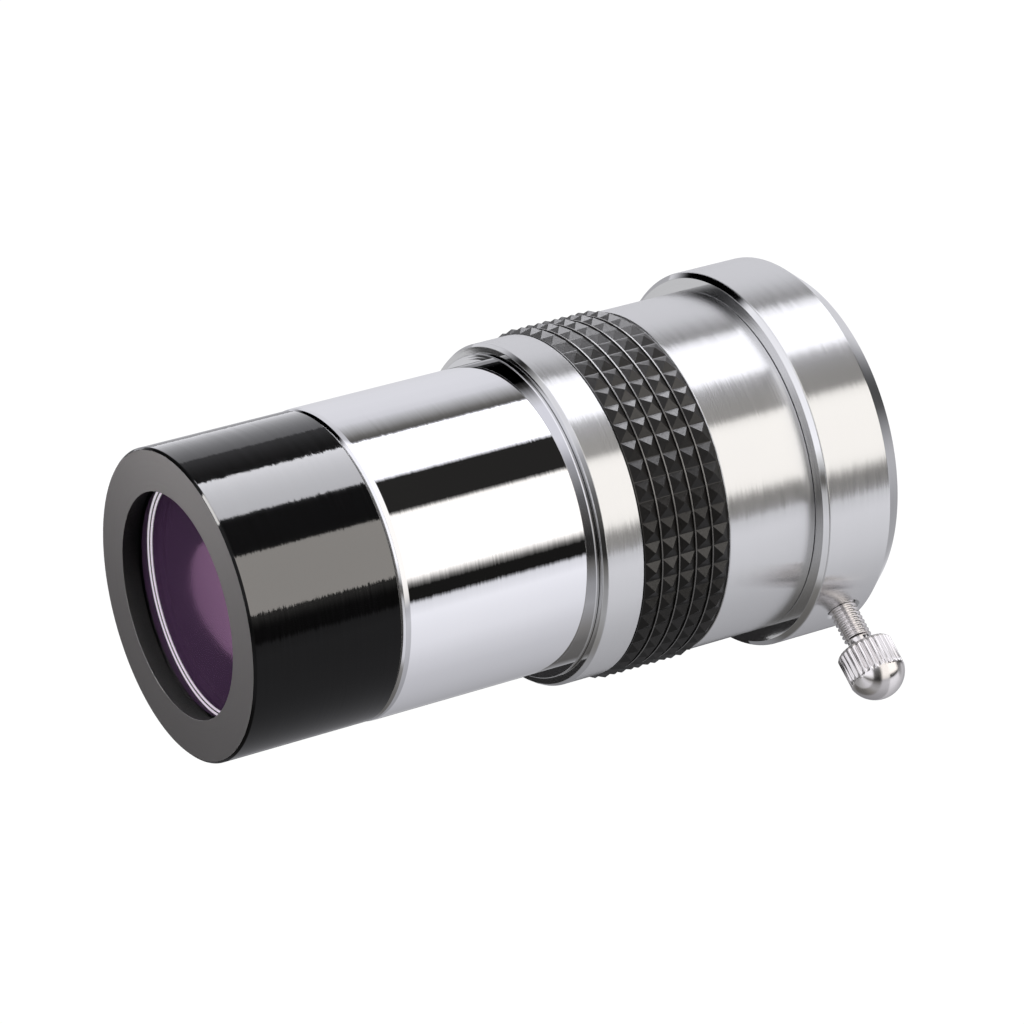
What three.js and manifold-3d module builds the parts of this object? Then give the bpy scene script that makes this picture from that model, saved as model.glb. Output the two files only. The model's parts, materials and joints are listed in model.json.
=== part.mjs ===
// A 1.25 inch (31.75 mm) achromatic Barlow lens, in millimetres, +Z up.
// The optical axis is +X, from the lens cell towards the eyepiece socket. The origin is on
// that axis, in the plane of the flange that stops against a focuser.

import * as THREE from "three";
import { mergeVertices } from "three/addons/utils/BufferGeometryUtils.js";
import Module from "manifold-3d";

// ---------------------------------------------------------------- driving dimensions

const SIDES = 48; // facets round every turned piece
const FIT = 0.1; // radial gap between two pieces that screw or slide together
const FACE_GAP = 0.05; // gap between two faces that butt together

// Stations along the optical axis, measured from the front of the flange.
const CELL_FRONT = -37.55; // front face of the lens cell
const CELL_REAR = -21.3; // where the lens cell meets the nosepiece
const BODY_FRONT = 0.35; // front face of the body, behind the flange
const BAND_END = 4.95; // end of the smooth band, start of the grip
const GRIP_END = 14.95;
const COLLAR_FRONT = 25.2;
const COLLAR_CHAMFER_START = 32.95; // where the collar's long rear chamfer begins
const COLLAR_REAR = 35.08; // rear face, and the end of the part

// Radii.
const NOSEPIECE_R = 15.875; // 1.25 inch nosepiece
const SOCKET_R = 15.95; // bore that takes a 1.25 inch eyepiece
const CELL_R = 15.79;
const APERTURE_R = 11.42;
const FLANGE_R = 16.75;
const BAND_R = 17.7;
const BODY_R = 17.82;
const COLLAR_R = 19.715;
const COLLAR_REAR_R = 18.05;

// Threads, drawn as plain cylinders at their major radius.
const FILTER_THREAD_R = 14.25; // M28.5 x 0.6, lens cell to nosepiece
const FILTER_THREAD_LENGTH = 4.2;
const BODY_THREAD_R = 15.0; // nosepiece to body
const COLLAR_THREAD_R = 17.3; // body to collar
const SCREW_THREAD_R = 1.45; // M3 x 0.5 thumbscrew

// Optics.
const LENS_R = 12.5;
const LENS_BORE_R = LENS_R + 0.2;
const LENS_FRONT = CELL_FRONT + 2.4; // edge of the front glass surface
const CEMENT_STATION = CELL_FRONT + 5.3; // edge of the cemented surface
const LENS_REAR = CELL_FRONT + 8.2; // edge of the rear glass surface
const FRONT_CURVE = 110;
const CEMENT_CURVE = 90;
const REAR_CURVE = 150;

// Grip.
const GRIP_ROWS = 5;
const GRIP_TEETH = 54;
const GRIP_SEAT_R = 16.9;
const GRIP_BASE_R = 17.75;
const GRIP_TIP_R = 18.35;

// Thumbscrew: it stands radially in the collar, and its heights are distances from the axis.
const SCREW_STATION = 30.25;
const SCREW_ANGLE = THREE.MathUtils.degToRad(126); // from +Z towards -Y
const SCREW_TIP = 16.15;
const HEAD_UNDERSIDE = 24.2;
const HEAD_FLUTE_END = 27.7;
const HEAD_R = 2.98;
const HEAD_DOME_R = 3.06;
const HEAD_FLUTES = 28;
const FLUTE_DEPTH = 0.28;

// ---------------------------------------------------------------- materials

function finish(color, roughness, metalness = 1) {
  return new THREE.MeshStandardMaterial({ color, roughness, metalness });
}

const blackAnodised = finish(0x0b0b0c, 0.18, 0.6);
const matteBlack = finish(0x0c0c0c, 0.85, 0);
const chrome = finish(0xe6e6ea, 0.05);
const turnedAluminium = finish(0xc9c9cc, 0.28);
const stainless = finish(0xc4bcba, 0.2);
const rubber = finish(0x1d1b1b, 0.75, 0);
const coatedGlass = new THREE.MeshStandardMaterial({
  color: 0x4a2f5c,
  roughness: 0.05,
  metalness: 0,
  transparent: true,
  opacity: 0.6,
});

// ---------------------------------------------------------------- geometry helpers

const wasm = await Module();
wasm.setup();

// An outline of [radius, station] points, in either direction, turned about the Y axis. It
// starts and ends on the axis, or else it closes on itself.
function turned(outline, sides = SIDES) {
  const points = outline.map(([radius, station]) => new THREE.Vector2(radius, station));
  if (THREE.ShapeUtils.isClockWise(points)) points.reverse();
  const startsOnAxis = points[0].x === 0;
  const loop = startsOnAxis ? points : [...points, points[0]];
  return welded(new THREE.LatheGeometry(loop, sides));
}

// The same geometry with only positions, and with shared vertices merged.
function welded(geometry) {
  geometry.deleteAttribute("normal");
  geometry.deleteAttribute("uv");
  return mergeVertices(geometry, 1e-4);
}

function asSolid(geometry) {
  const { index, attributes } = welded(geometry);
  const triVerts = new Uint32Array(index.array);
  const vertProperties = attributes.position.array;
  return new wasm.Manifold(new wasm.Mesh({ numProp: 3, vertProperties, triVerts }));
}

function asGeometry(solid) {
  const { vertProperties, triVerts } = solid.getMesh();
  const geometry = new THREE.BufferGeometry();
  geometry.setAttribute("position", new THREE.BufferAttribute(vertProperties, 3));
  geometry.setIndex(new THREE.BufferAttribute(triVerts, 1));
  return geometry;
}

function cut(geometry, tools) {
  let solid = asSolid(geometry);
  for (const tool of tools) solid = solid.subtract(asSolid(tool));
  return asGeometry(solid);
}

function named(name, geometry, material) {
  const mesh = new THREE.Mesh(geometry, material);
  mesh.name = name;
  return mesh;
}

// Points on a spherical lens surface from its rim to the axis. A positive curve bends
// towards the eyepiece at the centre, so it is hollow when seen from the front.
function lensSurface(edgeStation, curve, steps = 4) {
  const sagAt = (radius) => curve - Math.sign(curve) * Math.sqrt(curve ** 2 - radius ** 2);
  const points = [];
  for (let i = 0; i <= steps; i += 1) {
    const radius = LENS_R * (1 - i / steps);
    points.push([radius, edgeStation + sagAt(LENS_R) - sagAt(radius)]);
  }
  return points;
}

// ---------------------------------------------------------------- lens cell

function lensCellHousing() {
  const lipRear = LENS_FRONT - 0.2;
  const stubRear = CELL_REAR + FILTER_THREAD_LENGTH;
  return turned([
    [APERTURE_R, CELL_FRONT],
    [CELL_R - 0.25, CELL_FRONT],
    [CELL_R, CELL_FRONT + 0.3],
    [CELL_R, CELL_REAR - FACE_GAP],
    [FILTER_THREAD_R - FIT, CELL_REAR - FACE_GAP],
    [FILTER_THREAD_R - FIT, stubRear],
    [LENS_BORE_R, stubRear],
    [LENS_BORE_R, lipRear],
    [APERTURE_R + 0.73, lipRear],
  ]);
}

function frontLensElement() {
  const front = lensSurface(LENS_FRONT, FRONT_CURVE).reverse();
  const rear = lensSurface(CEMENT_STATION, -CEMENT_CURVE);
  return turned([...front, ...rear]);
}

function rearLensElement() {
  const front = lensSurface(CEMENT_STATION + FACE_GAP, -CEMENT_CURVE).reverse();
  const rear = lensSurface(LENS_REAR, -REAR_CURVE);
  return turned([...front, ...rear]);
}

// A threaded ring with a spanner slot on each side of its rear face.
function lensRetainingRing() {
  const front = LENS_REAR + FACE_GAP;
  const rear = front + 2.2;
  const innerR = 11.3;
  const slotWidth = 1.6;
  const slotDepth = 0.9;
  const ring = turned([
    [innerR, front],
    [LENS_BORE_R - FIT, front],
    [LENS_BORE_R - FIT, rear],
    [innerR, rear],
  ]);
  const slot = new THREE.BoxGeometry(4 * LENS_R, 2 * slotDepth, slotWidth);
  return cut(ring, [slot.translate(0, rear, 0)]);
}

const lensCell = new THREE.Group();
lensCell.add(named("lens_cell_housing", lensCellHousing(), blackAnodised));
lensCell.add(named("front_lens_element", frontLensElement(), coatedGlass));
lensCell.add(named("rear_lens_element", rearLensElement(), coatedGlass));
lensCell.add(named("lens_retaining_ring", lensRetainingRing(), matteBlack));

// ---------------------------------------------------------------- nosepiece

const NOSEPIECE_BORE_R = 13.6;
const NOSEPIECE_REAR = 6.55;

function nosepieceBarrel() {
  const flangeRear = BODY_FRONT - FACE_GAP;
  const threadEnd = CELL_REAR + FILTER_THREAD_LENGTH + 0.5;
  return turned([
    [FILTER_THREAD_R, CELL_REAR],
    [NOSEPIECE_R - 0.1, CELL_REAR],
    [NOSEPIECE_R, CELL_REAR + 0.1],
    [NOSEPIECE_R, 0],
    [FLANGE_R, 0],
    [FLANGE_R, flangeRear],
    [BODY_THREAD_R - FIT, flangeRear],
    [BODY_THREAD_R - FIT, NOSEPIECE_REAR],
    [NOSEPIECE_BORE_R, NOSEPIECE_REAR],
    [NOSEPIECE_BORE_R, threadEnd],
    [FILTER_THREAD_R, threadEnd],
  ]);
}

// A thin blackened stop pressed into the nosepiece's rear end.
function lightBaffle() {
  const rear = NOSEPIECE_REAR - 0.2;
  const front = rear - 1;
  const innerR = 10.2;
  const outerR = NOSEPIECE_BORE_R - FACE_GAP;
  return turned([
    [innerR, front + 0.4],
    [innerR + 0.6, front],
    [outerR, front],
    [outerR, rear],
    [innerR, rear],
  ]);
}

const nosepiece = new THREE.Group();
nosepiece.add(named("nosepiece_barrel", nosepieceBarrel(), chrome));
nosepiece.add(named("light_baffle", lightBaffle(), matteBlack));

// ---------------------------------------------------------------- body and grip

const SPIGOT_END = COLLAR_FRONT + 2.75; // end of the threaded spigot inside the collar

function bodyTube() {
  const socketStop = NOSEPIECE_REAR + 0.4;
  return turned([
    [BODY_THREAD_R, BODY_FRONT],
    [BAND_R - 0.28, BODY_FRONT],
    [BAND_R, BODY_FRONT + 0.45],
    [BAND_R, BAND_END],
    [GRIP_SEAT_R, BAND_END],
    [GRIP_SEAT_R, GRIP_END],
    [BODY_R, GRIP_END],
    [BODY_R, COLLAR_FRONT - FACE_GAP],
    [COLLAR_THREAD_R - FIT, COLLAR_FRONT - FACE_GAP],
    [COLLAR_THREAD_R - FIT, SPIGOT_END],
    [SOCKET_R, SPIGOT_END],
    [SOCKET_R, socketStop],
    [BODY_THREAD_R, socketStop],
  ]);
}

// A sleeve whose outside is rows of four-sided pyramids standing on a common base.
function rubberGrip() {
  const front = BAND_END + FACE_GAP;
  const rowWidth = (GRIP_END - FACE_GAP - front) / GRIP_ROWS;
  const step = (2 * Math.PI) / GRIP_TEETH;
  const positions = [];
  const faces = [];
  const ring = (radius, station, turn) => {
    const first = positions.length / 3;
    for (let i = 0; i < GRIP_TEETH; i += 1) {
      const angle = (i + turn) * step;
      positions.push(radius * Math.sin(angle), station, radius * Math.cos(angle));
    }
    return (i) => first + (i % GRIP_TEETH);
  };
  const strip = (a, b) => {
    for (let i = 0; i < GRIP_TEETH; i += 1) {
      faces.push(a(i), a(i + 1), b(i), b(i), a(i + 1), b(i + 1));
    }
  };
  const innerR = GRIP_SEAT_R + FACE_GAP;
  const innerFront = ring(innerR, front, 0);
  const innerRear = ring(innerR, front + GRIP_ROWS * rowWidth, 0);
  let edge = ring(GRIP_BASE_R, front, 0);
  strip(innerFront, edge);
  for (let row = 0; row < GRIP_ROWS; row += 1) {
    const tip = ring(GRIP_TIP_R, front + (row + 0.5) * rowWidth, 0.5);
    const next = ring(GRIP_BASE_R, front + (row + 1) * rowWidth, 0);
    for (let i = 0; i < GRIP_TEETH; i += 1) {
      faces.push(edge(i), edge(i + 1), tip(i));
      faces.push(edge(i + 1), next(i + 1), tip(i));
      faces.push(next(i + 1), next(i), tip(i));
      faces.push(next(i), edge(i), tip(i));
    }
    edge = next;
  }
  strip(edge, innerRear);
  strip(innerRear, innerFront);
  const geometry = new THREE.BufferGeometry();
  geometry.setAttribute("position", new THREE.Float32BufferAttribute(positions, 3));
  geometry.setIndex(faces);
  return geometry;
}

const body = new THREE.Group();
body.add(named("body_tube", bodyTube(), turnedAluminium));
body.add(named("rubber_grip", rubberGrip(), rubber));

// ---------------------------------------------------------------- collar

function eyepieceCollar() {
  const mouthChamfer = 0.5;
  const ring = turned([
    [COLLAR_THREAD_R, COLLAR_FRONT],
    [COLLAR_R - 0.55, COLLAR_FRONT],
    [COLLAR_R, COLLAR_FRONT + 0.45],
    [COLLAR_R, COLLAR_CHAMFER_START],
    [COLLAR_REAR_R, COLLAR_REAR],
    [SOCKET_R + mouthChamfer, COLLAR_REAR],
    [SOCKET_R, COLLAR_REAR - mouthChamfer],
    [SOCKET_R, SPIGOT_END + FIT],
    [COLLAR_THREAD_R, SPIGOT_END + FIT],
  ]);
  const hole = new THREE.CylinderGeometry(SCREW_THREAD_R + 0.3, SCREW_THREAD_R + 0.3, 8, 24);
  hole.translate(0, COLLAR_R, 0);
  hole.rotateX(Math.PI / 2);
  hole.rotateY(SCREW_ANGLE);
  hole.translate(0, SCREW_STATION, 0);
  return cut(ring, [hole]);
}

const collar = new THREE.Group();
collar.add(named("eyepiece_collar", eyepieceCollar(), turnedAluminium));

// ---------------------------------------------------------------- thumbscrew

// The screw is turned about its own Y axis, with the optical axis at height 0.
const STUD_END = 27.4; // end of the stud inside the head

function thumbscrewShank() {
  const tipR = 1.0;
  return turned(
    [
      [0, SCREW_TIP],
      [tipR, SCREW_TIP],
      [SCREW_THREAD_R, SCREW_TIP + SCREW_THREAD_R - tipR],
      [SCREW_THREAD_R, STUD_END],
      [0, STUD_END],
    ],
    24,
  );
}

// Every second vertex of the fluted length is drawn in, which leaves a row of sharp ribs.
function thumbscrewHead() {
  const socketR = SCREW_THREAD_R + FIT;
  const domeCentre = HEAD_FLUTE_END - Math.sqrt(HEAD_DOME_R ** 2 - HEAD_R ** 2);
  const outline = [
    [0, STUD_END + 0.3],
    [socketR, STUD_END + 0.3],
    [socketR, HEAD_UNDERSIDE],
    [HEAD_R - 0.28, HEAD_UNDERSIDE],
    [HEAD_R, HEAD_UNDERSIDE + 0.35],
    [HEAD_R, HEAD_FLUTE_END - 0.3],
  ];
  const domeSteps = 6;
  const startAngle = Math.asin((HEAD_FLUTE_END - domeCentre) / HEAD_DOME_R);
  for (let i = 0; i <= domeSteps; i += 1) {
    const angle = startAngle + (i / domeSteps) * (Math.PI / 2 - startAngle);
    const radius = i === domeSteps ? 0 : HEAD_DOME_R * Math.cos(angle);
    outline.push([radius, domeCentre + HEAD_DOME_R * Math.sin(angle)]);
  }
  const geometry = turned(outline, 2 * HEAD_FLUTES);
  const position = geometry.attributes.position;
  for (let i = 0; i < position.count; i += 1) {
    const radius = Math.hypot(position.getX(i), position.getZ(i));
    const height = position.getY(i);
    const fluted = radius > HEAD_R - 0.01 && height < HEAD_FLUTE_END - 0.01;
    const turn = Math.atan2(position.getX(i), position.getZ(i)) / (Math.PI / HEAD_FLUTES);
    if (!fluted || Math.abs(Math.round(turn)) % 2 === 0) continue;
    const scale = (radius - FLUTE_DEPTH) / radius;
    position.setXYZ(i, position.getX(i) * scale, height, position.getZ(i) * scale);
  }
  return geometry;
}

const thumbscrew = new THREE.Group();
thumbscrew.add(named("thumbscrew_shank", thumbscrewShank(), stainless));
thumbscrew.add(named("thumbscrew_head", thumbscrewHead(), stainless));
thumbscrew.position.x = SCREW_STATION;
thumbscrew.rotation.x = SCREW_ANGLE + Math.PI / 2;

// ---------------------------------------------------------------- assembly

// Turned pieces are drawn about Y, so one quarter turn lays them along the optical axis.
const optics = new THREE.Group();
optics.add(lensCell, nosepiece, body, collar);
optics.rotation.z = -Math.PI / 2;

const barlow = new THREE.Group();
barlow.add(optics, thumbscrew);

export default barlow;
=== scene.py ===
"""A 1.25 inch achromatic Barlow lens: finely turned, threaded and knurled pieces that ride on the
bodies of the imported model. Stations and radii are in millimetres, and MM turns them into metres.
A station is measured along an axis, and a radius from it. The optical axis is +X."""

import json
import math

import bmesh
import bpy
from mathutils import Matrix, Vector


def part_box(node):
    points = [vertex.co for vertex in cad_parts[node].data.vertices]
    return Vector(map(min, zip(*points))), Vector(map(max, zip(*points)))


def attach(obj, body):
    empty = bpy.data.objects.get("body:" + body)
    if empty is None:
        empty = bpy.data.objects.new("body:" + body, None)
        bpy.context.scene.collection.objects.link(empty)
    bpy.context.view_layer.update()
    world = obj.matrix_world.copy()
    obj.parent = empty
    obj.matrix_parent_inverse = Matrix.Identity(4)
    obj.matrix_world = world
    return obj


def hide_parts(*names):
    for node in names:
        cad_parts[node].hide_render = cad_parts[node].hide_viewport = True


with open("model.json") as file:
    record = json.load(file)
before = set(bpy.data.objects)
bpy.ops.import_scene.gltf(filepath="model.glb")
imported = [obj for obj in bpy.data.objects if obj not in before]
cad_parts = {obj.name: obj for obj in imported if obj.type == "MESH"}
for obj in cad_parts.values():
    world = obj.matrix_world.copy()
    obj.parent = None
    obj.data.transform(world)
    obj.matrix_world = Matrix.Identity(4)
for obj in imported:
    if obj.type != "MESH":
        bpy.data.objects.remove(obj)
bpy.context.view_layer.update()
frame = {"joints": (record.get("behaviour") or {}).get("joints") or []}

MM = 0.001
SIDES = 256  # facets round a turned piece
FILLET_STEPS = 4


# ---------------------------------------------------------------- sizes from the frame

def extent(node):
    """A node's first station, last station and largest radius, in millimetres."""
    low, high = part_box(node)
    return low.x / MM, high.x / MM, max(high.y, high.z) / MM


CELL_FRONT, CELL_STUB_END, CELL_R = extent("lens_cell_housing")
NOSE_FRONT, NOSE_REAR, FLANGE_R = extent("nosepiece_barrel")
BODY_FRONT, SPIGOT_END, BODY_R = extent("body_tube")
GRIP_FRONT, GRIP_REAR, GRIP_TIP_R = extent("rubber_grip")
COLLAR_FRONT, COLLAR_REAR, COLLAR_R = extent("eyepiece_collar")
LENS_FRONT, LENS_SPLIT, LENS_R = extent("front_lens_element")
LENS_REAR = extent("rear_lens_element")[1]
RING_FRONT, RING_REAR, RING_R = extent("lens_retaining_ring")
BAFFLE_FRONT, BAFFLE_REAR, BAFFLE_R = extent("light_baffle")

FACE_GAP = 0.05  # between the faces of neighbouring pieces
NOSE_R = 15.875  # the 1.25 inch standard
SOCKET_R = 15.95  # takes the 1.25 inch barrel of an eyepiece
APERTURE_R = 11.42
LENS_BORE_R = 12.7
FILTER_THREAD_R = 14.15  # M28.5 x 0.6, outside radius of the lens cell's stub
FILTER_PITCH = 0.6
NOSE_BORE_R = 13.6
BODY_THREAD_R = 14.9
BAND_R = 17.7
BAND_END = GRIP_FRONT - FACE_GAP
GRIP_END = GRIP_REAR + FACE_GAP
GRIP_SEAT_R = 16.9
GRIP_ROWS = 5
GRIP_TEETH = 54
SPIGOT_R = 17.2
COLLAR_CHAMFER_START = COLLAR_REAR - 2.13
COLLAR_REAR_R = 18.05

turn_joint = next(j for j in frame["joints"] if j["name"] == "thumbscrew_turn")
SCREW_DIRECTION = Vector(turn_joint["axis"]).normalized()  # outwards, from tip to head
SCREW_STATION = turn_joint["pos_m"][0] / MM
SCREW_TIP = 16.15
SCREW_R = 1.45  # M3 x 0.5
SCREW_ROOT_R = 1.17
SCREW_PITCH = 0.5
HEAD_UNDERSIDE = 24.2
HEAD_FLUTE_END = 27.7
HEAD_R = 2.97
HEAD_DOME_R = 3.05
HEAD_FLUTES = 28
FLUTE_DEPTH = 0.26


# ---------------------------------------------------------------- turned pieces

def corner_arc(before, corner, after, radius):
    """The points and normals of a fillet of this radius at a corner of an outline."""
    to_before = (before - corner).normalized()
    to_after = (after - corner).normalized()
    half = to_before.angle(to_after) / 2
    reach = radius / math.tan(half)
    centre = corner + (to_before + to_after).normalized() * (radius / math.sin(half))
    first = corner + to_before * reach - centre
    last = corner + to_after * reach - centre
    sweep = first.angle_signed(last)
    rays = [Matrix.Rotation(-sweep * i / FILLET_STEPS, 2) @ first for i in range(FILLET_STEPS + 1)]
    return [centre + ray for ray in rays], [ray.normalized() for ray in rays]


def segments_of(corners):
    """The segments of a closed outline. A corner is (station, radius, fillet radius, finish),
    where the finish is the material index of the side that starts there, or the side's thread."""
    points = [Vector(c[:2]) for c in corners]
    count = len(points)
    area = sum(points[i - 1].cross(points[i]) for i in range(count))
    outward = -1 if area > 0 else 1
    arcs = []
    for i, corner in enumerate(corners):
        if corner[2]:
            arcs.append(corner_arc(points[i - 1], points[i], points[(i + 1) % count], corner[2]))
        else:
            arcs.append(([points[i]], [None]))
    segments = []
    for i in range(count):
        finish = corners[i][3] if len(corners[i]) > 3 else 0
        arc_points, arc_normals = arcs[i]
        arc_finish = finish if isinstance(finish, int) else 0
        start, end = arc_points[-1], arcs[(i + 1) % count][0][0]
        side = (end - start).normalized()
        normal = Vector((-side.y, side.x)) * outward
        if arc_normals[-1] is not None and arc_normals[-1].dot(normal) < 0:
            arc_normals = [-n for n in arc_normals]  # a hollow corner
        arc = list(zip(arc_points, arc_normals))
        for first, second in zip(arc, arc[1:]):
            segments.append((first, second, arc_finish))
        segments.append(((start, normal), (end, normal), finish))
    return segments


def sphere_side(edge_station, edge_radius, curve, towards_axis, finish=0, steps=24):
    """The segments of a lens surface between its rim and the axis. A positive curve bends
    towards +X at the centre."""
    depth = math.sqrt(curve ** 2 - edge_radius ** 2)
    centre = Vector((edge_station - math.copysign(depth, curve), 0))
    turn = math.asin(edge_radius / abs(curve))
    ends = []
    for i in range(steps + 1):
        angle = turn * (1 - i / steps)
        ray = Vector((math.copysign(math.cos(angle), curve), math.sin(angle)))
        outward = ray if (ray.x > 0) == towards_axis else -ray
        ends.append((centre + ray * abs(curve), outward))
    if not towards_axis:
        ends.reverse()
    return [(ends[i], ends[i + 1], finish) for i in range(steps)]


class Turning:
    """A mesh of turned surfaces, with its exact normals."""

    def __init__(self, sides=SIDES):
        self.bm = bmesh.new()
        self.sides = sides
        self.rings = {}
        self.normals = []

    def vertex(self, station, radius, i):
        angle = 2 * math.pi * i / self.sides
        return self.bm.verts.new((station, radius * math.sin(angle), radius * math.cos(angle)))

    def ring(self, point):
        key = (round(point.x, 5), round(point.y, 5))
        if key not in self.rings:
            if key[1] == 0:
                self.rings[key] = [self.vertex(point.x, 0, 0)] * self.sides
            else:
                self.rings[key] = [self.vertex(point.x, point.y, i) for i in range(self.sides)]
        return self.rings[key]

    def face(self, verts, finish, normals=None):
        kept = [v for i, v in enumerate(verts) if v is not verts[i - 1]]
        if len(kept) < 3:
            return
        face = self.bm.faces.new(kept)
        face.material_index = finish
        self.normals.append(dict(zip(verts, normals)) if normals else None)

    def spun(self, normal, i):
        angle = 2 * math.pi * i / self.sides
        return Vector((normal.x, normal.y * math.sin(angle), normal.y * math.cos(angle)))

    def side(self, start, end, finish):
        (p0, n0), (p1, n1) = start, end
        a, b = self.ring(p0), self.ring(p1)
        for i in range(self.sides):
            k = (i + 1) % self.sides
            turned = (n0, i), (n0, i + 1), (n1, i + 1), (n1, i)
            self.face([a[i], a[k], b[k], b[i]], finish, [self.spun(n, j) for n, j in turned])

    def thread(self, start, end, depth, pitch, finish):
        """A helical thread between two rings of one radius. A negative depth is cut outwards."""
        low, high = sorted((start, end), key=lambda p: p.x)
        profile = [0, 0.04, 0.3, 0.86, 1, 0.86, 0.3, 0.04]  # shares of the depth over one pitch
        run_out = 0.5  # turns over which the thread fades at each end
        rows = len(profile)
        turns = round((high.x - low.x) / pitch) - 1
        pitch = (high.x - low.x) / (turns + 1)
        last = turns * rows
        bottom, top = self.ring(low), self.ring(high)
        n = self.sides

        def spiral(i, j):
            turn = i / n + j // rows
            fade = max(0, min(1, turn / run_out, (turns - turn) / run_out))
            radius = low.y + depth * profile[j % rows] * fade
            return self.vertex(low.x + pitch * (j / rows + i / n), radius, i)

        grid = [[spiral(i, j) for j in range(last + 1)] for i in range(n)]
        self.bm.verts.remove(grid[0][0])
        grid[0][0] = bottom[0]
        for i in range(n - 1):
            a, b = grid[i], grid[i + 1]
            self.face([bottom[i], bottom[i + 1], b[0], a[0]], finish)
            self.face([a[last], b[last], top[i + 1], top[i]], finish)
            for j in range(last):
                self.face([a[j], b[j], b[j + 1], a[j + 1]], finish)
        a, b = grid[n - 1], grid[0]
        self.face([bottom[n - 1], *b[: rows + 1], a[0]], finish)
        closing = [b[last], top[0], top[n - 1], *reversed(a[last - rows + 1 :])]
        self.face([a[last - rows], *closing], finish)
        for j in range(last - rows):
            self.face([a[j], b[j + rows], b[j + rows + 1], a[j + 1]], finish)

    def add(self, segments):
        for start, end, finish in segments:
            if isinstance(finish, int):
                self.side(start, end, finish)
            else:
                self.thread(start[0], end[0], *finish)
        return self

    def piece(self, name, materials, placed=None):
        """The finished object. placed is a matrix that moves it off the optical axis."""
        self.bm.verts.index_update()
        self.bm.faces.index_update()
        wanted = [
            None if n is None else {v.index: normal for v, normal in n.items()}
            for n in self.normals
        ]
        bmesh.ops.recalc_face_normals(self.bm, faces=self.bm.faces)
        mesh = bpy.data.meshes.new(name)
        self.bm.to_mesh(mesh)
        self.bm.free()
        loop_normals = [Vector((0, 0, 0))] * len(mesh.loops)
        for polygon in mesh.polygons:
            polygon.use_smooth = True
            for loop in polygon.loop_indices:
                if wanted[polygon.index]:
                    loop_normals[loop] = wanted[polygon.index][mesh.loops[loop].vertex_index]
        placed = placed or Matrix()
        mesh.transform(Matrix.Scale(MM, 4) @ placed)
        mesh.normals_split_custom_set([placed.to_3x3() @ n for n in loop_normals])
        return with_materials(name, mesh, materials)


def with_materials(name, mesh, materials):
    piece = bpy.data.objects.new(name, mesh)
    bpy.context.scene.collection.objects.link(piece)
    for material in materials:
        mesh.materials.append(material)
    return piece


def settle(piece, node, body):
    """The piece stands for a CAD node, on that node's body."""
    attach(piece, body)
    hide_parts(node)
    return piece


# ---------------------------------------------------------------- materials

class Nodes:
    """A short way to write a material's node tree."""

    def __init__(self, name):
        self.material = bpy.data.materials.new(name)
        self.material.use_nodes = True
        self.tree = self.material.node_tree
        self.shader = self.tree.nodes["Principled BSDF"]

    def node(self, kind, inputs=(), **settings):
        node = self.tree.nodes.new(kind)
        for key, value in settings.items():
            setattr(node, key, value)
        for key, value in dict(inputs).items():
            self.plug(node.inputs[key], value)
        return node

    def plug(self, socket, value):
        if isinstance(value, bpy.types.NodeSocket):
            self.tree.links.new(value, socket)
        else:
            socket.default_value = value

    def math(self, operation, *values):
        return self.node("ShaderNodeMath", enumerate(values), operation=operation).outputs[0]

    def vector(self, operation, *values, **named):
        node = self.node("ShaderNodeVectorMath", enumerate(values), operation=operation)
        for key, value in named.items():
            self.plug(node.inputs[key], value)
        return node.outputs["Value"] if operation in ("LENGTH", "DOT_PRODUCT") else node.outputs[0]

    def noise(self, vector, scale, detail=2.0):
        inputs = {"Vector": vector, "Scale": scale, "Detail": detail}
        return self.node("ShaderNodeTexNoise", inputs).outputs["Fac"]

    def between(self, noise, low, high):
        """Spreads noise, which stays mostly between 0.3 and 0.7, from low to high."""
        inputs = {0: noise, 1: 0.3, 2: 0.7, 3: low, 4: high}
        return self.node("ShaderNodeMapRange", inputs).outputs[0]

    def bump(self, height, strength, distance):
        inputs = {"Height": height, "Strength": strength, "Distance": distance}
        return self.node("ShaderNodeBump", inputs).outputs[0]

    def mix(self, factor, first, second):
        node = self.node("ShaderNodeMix", data_type="RGBA")
        self.plug(node.inputs[0], factor)
        self.plug(node.inputs[6], first)
        self.plug(node.inputs[7], second)
        return node.outputs[2]

    def place(self):
        return self.node("ShaderNodeTexCoord").outputs["Object"]

    def set(self, **values):
        """Sets the shader's sockets: set(Base_Color=..., Roughness=...)."""
        for key, value in values.items():
            self.plug(self.shader.inputs[key.replace("_", " ")], value)
        return self.material

    def turning_lines(self, spacing):
        """Coordinates in which noise makes lines round the optical axis, this many mm apart."""
        wander = 1.5  # how far the noise changes along a line
        xyz = self.node("ShaderNodeSeparateXYZ", {0: self.place()}).outputs
        flat = self.node("ShaderNodeCombineXYZ", {1: xyz[1], 2: xyz[2]}).outputs[0]
        radius = self.vector("LENGTH", flat)
        along = self.math("MULTIPLY", self.math("ADD", xyz[0], radius), 1 / (spacing * MM))
        around = self.vector("SCALE", self.vector("NORMALIZE", flat), Scale=wander)
        shift = self.node("ShaderNodeCombineXYZ", {0: along}).outputs[0]
        return self.vector("ADD", around, shift)

    def streaked(self, strength, spacing):
        """The surface normal, leaned to and fro round the axis from line to line."""
        coarse = self.noise(self.turning_lines(spacing), 1.0, 1.0)
        fine = self.noise(self.turning_lines(spacing * 0.35), 1.0, 1.0)
        blend = self.math("MULTIPLY", self.math("ADD", fine, coarse), 0.5)
        lean = self.math("MULTIPLY", self.math("SUBTRACT", blend, 0.5), strength)
        tangent = self.node("ShaderNodeTangent", direction_type="RADIAL", axis="X").outputs[0]
        leaning = self.vector("SCALE", tangent, Scale=lean)
        normal = self.node("ShaderNodeNewGeometry").outputs["Normal"]
        return self.vector("NORMALIZE", self.vector("ADD", normal, leaning))


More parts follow.
